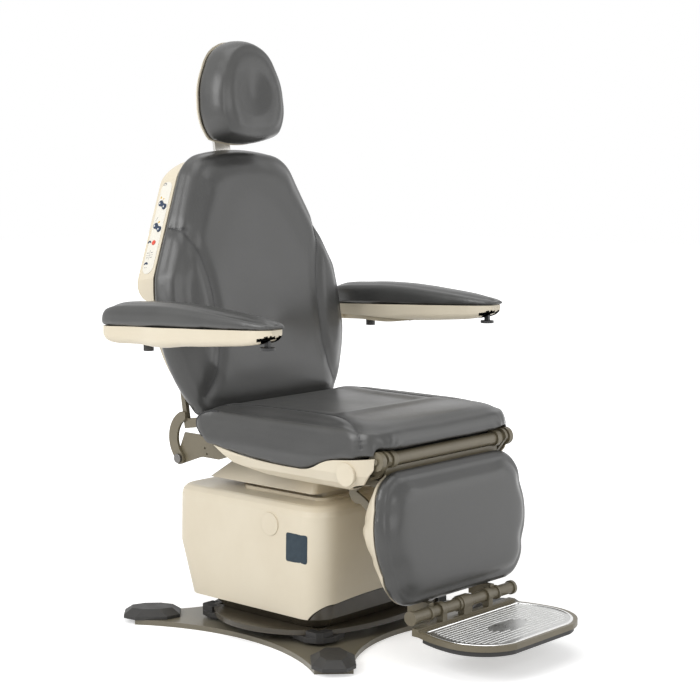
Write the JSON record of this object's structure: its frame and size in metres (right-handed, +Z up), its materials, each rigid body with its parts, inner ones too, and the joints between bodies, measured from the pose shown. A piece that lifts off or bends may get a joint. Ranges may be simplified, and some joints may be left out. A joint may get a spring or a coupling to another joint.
{
  "type": "examination chair",
  "caption": "Powered examination chair: padded seat, reclining back with headrest, flip-up armrests, rising leg rest with hinged footplate, on a lift column over a swivel base.",
  "frame": {"origin": "on the floor under the swivel axis, at the middle of the base plate's underside", "axes": "+Z up, the sitter faces -Y, +X is the sitter's left"},
  "size_m": [0.8674, 1.0417, 1.4017],
  "materials": {
    "taupe_steel": "satin taupe paint",
    "plate_steel": "satin taupe paint",
    "cream_plastic": "soft gloss moulded plastic",
    "dark_vinyl": "soft gloss upholstery vinyl",
    "dark_rubber": "matt moulded rubber",
    "bright_steel": "brushed",
    "dark_steel": "black oxide",
    "tread_aluminium": "bright ribbed",
    "black_plastic": "matt",
    "grey_plastic": "matt",
    "film_white": "printed film",
    "key_blue": "printed film",
    "key_red": "printed film"
  },
  "bodies": {
    "base": {"base_plate": "plate_steel", "foot_caps": "dark_rubber", "bearing_lower_race": "bright_steel"},
    "turntable": {"bearing_upper_race": "bright_steel", "chassis_frame": "taupe_steel", "lower_tray": "taupe_steel", "base_cover": "cream_plastic", "power_inlet": "black_plastic", "lift_motor": "grey_plastic", "control_box": "grey_plastic", "column_outer": "bright_steel"},
    "brake": {"brake_bars": "taupe_steel", "brake_blocks": "dark_rubber"},
    "lift_middle": {"column_mid": "bright_steel", "neck_cover_mid": "cream_plastic"},
    "seat": {"column_inner": "bright_steel", "neck_cover_upper": "cream_plastic", "seat_frame": "taupe_steel", "leg_pivot_tube": "taupe_steel", "pivot_collars": "taupe_steel", "seat_shell": "cream_plastic", "seat_cushion": "dark_vinyl", "leg_ram_body": "grey_plastic"},
    "back": {"hinge_arms": "taupe_steel", "hinge_shaft": "dark_steel", "back_frame": "taupe_steel", "back_shell": "cream_plastic", "back_cushion": "dark_vinyl", "keypad_films": "film_white", "arm_shafts": "bright_steel"},
    "headrest_slider": {"headrest_bar": "bright_steel"},
    "headrest": {"headrest_bracket": "dark_steel", "headrest_shell": "cream_plastic", "headrest_cushion": "dark_vinyl"},
    "leg_rest": {"leg_frame": "taupe_steel", "leg_shell": "cream_plastic", "leg_cushion": "dark_vinyl", "foot_hinge_tube": "taupe_steel"},
    "footplate": {"foot_frame": "taupe_steel", "foot_tread": "tread_aluminium", "foot_bumper": "dark_rubber"},
    "leg_ram_rod": {"leg_ram_rod": "bright_steel"},
    "back_ram_body": {"back_ram_body": "grey_plastic"},
    "back_ram_rod": {"back_ram_rod": "bright_steel"},
    "arm_left": {"arm_pad_left": "dark_vinyl", "arm_shell_left": "cream_plastic", "arm_core_left": "taupe_steel", "arm_stop_left": "dark_rubber"},
    "arm_lever_left": {"arm_lever_left": "black_plastic"},
    "lift_key_left": {"lift_key_left": "key_blue"},
    "back_key_left": {"back_key_left": "key_blue"},
    "stop_key_left": {"stop_key_left": "key_red"},
    "arm_right": {"arm_pad_right": "dark_vinyl", "arm_shell_right": "cream_plastic", "arm_core_right": "taupe_steel", "arm_stop_right": "dark_rubber"},
    "arm_lever_right": {"arm_lever_right": "black_plastic"},
    "lift_key_right": {"lift_key_right": "key_blue"},
    "back_key_right": {"back_key_right": "key_blue"},
    "stop_key_right": {"stop_key_right": "key_red"}
  },
  "joints": [
    {"name": "chair_swivel", "type": "hinge", "parent": "base", "child": "turntable", "pos_m": [0, 0, 0.03], "axis": [0, 0, 1], "range_deg": [-165, 165]},
    {"name": "brake_press", "type": "slide", "parent": "turntable", "child": "brake", "axis": [0, 0, -1], "range_m": [0, 0.007], "stiffness_N_per_m": 6000, "springref_m": -0.012},
    {"name": "lift", "type": "slide", "parent": "turntable", "child": "seat", "axis": [0, 0, 1], "range_m": [0, 0.406]},
    {"name": "lift_middle_follow", "type": "slide", "parent": "turntable", "child": "lift_middle", "axis": [0, 0, 1], "range_m": [0, 0.203]},
    {"name": "back_recline", "type": "hinge", "parent": "seat", "child": "back", "pos_m": [0, 0.259, 0.395], "axis": [-1, 0, 0], "range_deg": [0, 75]},
    {"name": "leg_raise", "type": "hinge", "parent": "seat", "child": "leg_rest", "pos_m": [0, -0.367, 0.462], "axis": [-1, 0, 0], "range_deg": [0, 75]},
    {"name": "footplate_flip", "type": "hinge", "parent": "leg_rest", "child": "footplate", "pos_m": [0, -0.424, 0.113], "axis": [-1, 0, 0], "range_deg": [0, 90]},
    {"name": "headrest_slide", "type": "slide", "parent": "back", "child": "headrest_slider", "axis": [0, 0.165, 0.9863], "range_m": [0, 0.12]},
    {"name": "headrest_tilt", "type": "hinge", "parent": "headrest_slider", "child": "headrest", "pos_m": [0, 0.36556, 1.22174], "axis": [-1, 0, 0], "range_deg": [0, 35]},
    {"name": "leg_ram_stroke", "type": "slide", "parent": "seat", "child": "leg_ram_rod", "axis": [0, -0.9999, -0.0108], "range_m": [0, 0.08586]},
    {"name": "back_ram_tilt", "type": "hinge", "parent": "seat", "child": "back_ram_body", "pos_m": [0.196, -0.06, 0.404], "axis": [1, 0, 0], "range_deg": [0, 7.43]},
    {"name": "back_ram_stroke", "type": "slide", "parent": "back_ram_body", "child": "back_ram_rod", "axis": [0, -0.9852, 0.1716], "range_m": [0, 0.0414]},
    {"name": "arm_left_swing", "type": "hinge", "parent": "back", "child": "arm_left", "pos_m": [0.388, 0.283, 0.708], "axis": [-1, 0, 0], "range_deg": [-75, 100]},
    {"name": "arm_lever_left_pull", "type": "hinge", "parent": "arm_left", "child": "arm_lever_left", "pos_m": [0.388, -0.19, 0.734], "axis": [-1, 0, 0], "range_deg": [-8, 8], "stiffness_Nm_per_rad": 0.4},
    {"name": "lift_key_left_rock", "type": "hinge", "parent": "back", "child": "lift_key_left", "pos_m": [0.22852, 0.33898, 0.94783], "axis": [-0.355, -0.4439, 0.8228], "range_deg": [-4, 4], "stiffness_Nm_per_rad": 0.2},
    {"name": "back_key_left_rock", "type": "hinge", "parent": "back", "child": "back_key_left", "pos_m": [0.20252, 0.34791, 1.00116], "axis": [-0.355, -0.4439, 0.8228], "range_deg": [-4, 4], "stiffness_Nm_per_rad": 0.2},
    {"name": "stop_key_left_press", "type": "slide", "parent": "back", "child": "stop_key_left", "axis": [-0.9012, -0.0715, -0.4274], "range_m": [0, 0.0005], "stiffness_N_per_m": 900, "springref_m": -0.0005},
    {"name": "arm_right_swing", "type": "hinge", "parent": "back", "child": "arm_right", "pos_m": [-0.388, 0.283, 0.708], "axis": [-1, 0, 0], "range_deg": [-75, 100]},
    {"name": "arm_lever_right_pull", "type": "hinge", "parent": "arm_right", "child": "arm_lever_right", "pos_m": [-0.388, -0.19, 0.734], "axis": [-1, 0, 0], "range_deg": [-8, 8], "stiffness_Nm_per_rad": 0.4},
    {"name": "lift_key_right_rock", "type": "hinge", "parent": "back", "child": "lift_key_right", "pos_m": [-0.22852, 0.33898, 0.94783], "axis": [-0.355, 0.4439, -0.8228], "range_deg": [-4, 4], "stiffness_Nm_per_rad": 0.2},
    {"name": "back_key_right_rock", "type": "hinge", "parent": "back", "child": "back_key_right", "pos_m": [-0.20252, 0.34791, 1.00116], "axis": [-0.355, 0.4439, -0.8228], "range_deg": [-4, 4], "stiffness_Nm_per_rad": 0.2},
    {"name": "stop_key_right_press", "type": "slide", "parent": "back", "child": "stop_key_right", "axis": [0.9012, -0.0715, -0.4274], "range_m": [0, 0.0005], "stiffness_N_per_m": 900, "springref_m": -0.0005}
  ],
  "couplings": [
    {"joint": "lift_middle_follow", "follows": "lift", "ratio": 0.5},
    {"joint": "leg_ram_stroke", "follows": "leg_raise", "m_per_rad": 0.065442},
    {"joint": "back_ram_tilt", "follows": "back_recline", "ratio": 0.098348},
    {"joint": "back_ram_stroke", "follows": "back_recline", "m_per_rad": 0.031477}
  ]
}
